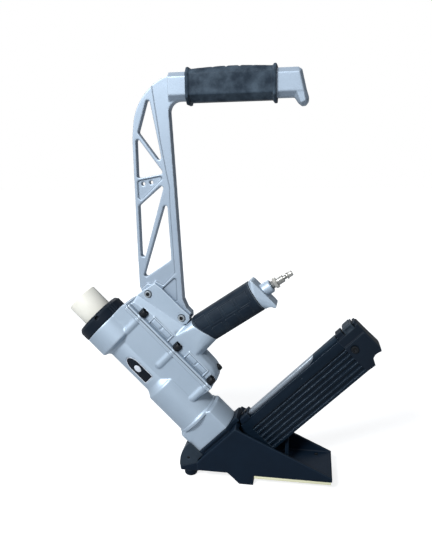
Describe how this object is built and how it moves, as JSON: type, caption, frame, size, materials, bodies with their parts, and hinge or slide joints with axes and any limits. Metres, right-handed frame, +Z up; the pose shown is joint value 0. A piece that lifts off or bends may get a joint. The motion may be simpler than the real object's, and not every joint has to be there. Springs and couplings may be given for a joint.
{
  "type": "pneumatic flooring nailer",
  "caption": "Mallet-struck pneumatic flooring nailer with a slanted cylinder, ribbed magazine, flat shoe, rubber rear grip and a tall webbed arm carrying a hand bar.",
  "frame": {"origin": "centre of the heel's bottom face, which rests on the sub-floor", "axes": "+Z up, +X from the striking head towards the rear end of the shoe, +Y to the far side; the nailer is upright on its heel and its two foot bumpers"},
  "size_m": [0.4449, 0.0766, 0.5735],
  "materials": {
    "shoe": "black textured paint on cast aluminium",
    "base_pad": "cream non-marring plastic",
    "pad_screws": "zinc plated steel",
    "foot_bumpers": "black rubber",
    "front_guard": "dark grey moulded nylon",
    "guard_pin": "steel roll pin",
    "nose_flange": "black painted cast aluminium",
    "nose_screws": "blackened steel cap screws",
    "driver_guide_front": "hardened steel",
    "driver_guide_rear": "hardened steel",
    "cylinder_housing": "silver paint on cast aluminium",
    "housing_gasket": "fibre gasket",
    "housing_bolts": "blackened steel socket screws",
    "handle_housing": "silver paint on cast aluminium",
    "housing_plug": "blackened steel plug",
    "rear_grip": "moulded black rubber",
    "inlet_gasket": "fibre gasket",
    "inlet_cap": "silver paint on cast aluminium",
    "inlet_filter": "sintered bronze",
    "air_plug": "nickel plated steel",
    "nameplate": "plain dark label plate",
    "nameplate_badge": "plain light oval",
    "cylinder_sleeve": "honed steel",
    "sleeve_orings": "nitrile rubber",
    "piston_bumper": "urethane bumper",
    "piston": "turned aluminium",
    "piston_ring": "nitrile rubber",
    "driver_blade": "hardened steel",
    "head_valve": "acetal",
    "valve_spring": "spring steel",
    "head_cap": "black glass-filled nylon",
    "head_seal": "nitrile rubber",
    "ram_cap": "ivory nylon",
    "ram_stem": "ground steel",
    "ram_spring": "spring steel",
    "arm_frame": "silver paint on cast aluminium",
    "arm_bolts": "blackened steel bolts",
    "arm_nuts": "zinc plated steel nuts",
    "top_grip": "moulded black rubber",
    "magazine_near_side": "black anodised extrusion",
    "magazine_far_side": "black anodised extrusion",
    "magazine_track": "formed steel",
    "top_rail": "brushed steel",
    "rail_cover": "black painted steel",
    "magazine_bracket": "dark grey painted casting",
    "bracket_screws": "blackened steel screws",
    "magazine_end_cap": "black moulded nylon",
    "end_cap_bolt": "blackened steel bolt",
    "pusher": "formed steel",
    "pusher_spring": "coiled spring steel ribbon",
    "latch_button": "dark grey moulded nylon",
    "latch_spring": "spring steel"
  },
  "bodies": {
    "frame": {"shoe": "shoe", "base_pad": "base_pad", "pad_screws": "pad_screws", "foot_bumpers": "foot_bumpers", "front_guard": "front_guard", "guard_pin": "guard_pin", "nose_flange": "nose_flange", "nose_screws": "nose_screws", "driver_guide_front": "driver_guide_front", "driver_guide_rear": "driver_guide_rear", "cylinder_housing": "cylinder_housing", "housing_gasket": "housing_gasket", "housing_bolts": "housing_bolts", "handle_housing": "handle_housing", "housing_plug": "housing_plug", "rear_grip": "rear_grip", "inlet_gasket": "inlet_gasket", "inlet_cap": "inlet_cap", "inlet_filter": "inlet_filter", "air_plug": "air_plug", "nameplate": "nameplate", "nameplate_badge": "nameplate_badge", "cylinder_sleeve": "cylinder_sleeve", "sleeve_orings": "sleeve_orings", "piston_bumper": "piston_bumper", "head_cap": "head_cap", "head_seal": "head_seal", "valve_spring": "valve_spring", "ram_spring": "ram_spring", "arm_frame": "arm_frame", "arm_bolts": "arm_bolts", "arm_nuts": "arm_nuts", "top_grip": "top_grip", "magazine_near_side": "magazine_near_side", "magazine_far_side": "magazine_far_side", "magazine_track": "magazine_track", "top_rail": "top_rail", "rail_cover": "rail_cover", "magazine_bracket": "magazine_bracket", "bracket_screws": "bracket_screws", "magazine_end_cap": "magazine_end_cap", "end_cap_bolt": "end_cap_bolt", "pusher_spring": "pusher_spring", "latch_spring": "latch_spring"},
    "ram": {"ram_cap": "ram_cap", "ram_stem": "ram_stem"},
    "valve": {"head_valve": "head_valve"},
    "driver": {"piston": "piston", "piston_ring": "piston_ring", "driver_blade": "driver_blade"},
    "pusher": {"pusher": "pusher"},
    "latch": {"latch_button": "latch_button"}
  },
  "joints": [
    {"name": "ram_press", "type": "slide", "parent": "frame", "child": "ram", "axis": [0.7071, 0, -0.7071], "range_m": [0, 0.012], "stiffness_N_per_m": 3000, "springref_m": -0.002, "deforming": ["ram_spring"]},
    {"name": "valve_lift", "type": "slide", "parent": "frame", "child": "valve", "axis": [-0.7071, 0, 0.7071], "range_m": [0, 0.006], "deforming": ["valve_spring"]},
    {"name": "piston_stroke", "type": "slide", "parent": "frame", "child": "driver", "axis": [0.7071, 0, -0.7071], "range_m": [0, 0.0712]},
    {"name": "pusher_feed", "type": "slide", "parent": "frame", "child": "pusher", "axis": [-0.7071, 0, -0.7071], "range_m": [0, 0.165]},
    {"name": "latch_press", "type": "slide", "parent": "frame", "child": "latch", "axis": [0.7071, 0, -0.7071], "range_m": [0, 0.003], "stiffness_N_per_m": 1000, "springref_m": -0.001, "deforming": ["latch_spring"]}
  ],
  "couplings": [
    {"joint": "valve_lift", "follows": "ram_press", "ratio": 0.5}
  ]
}
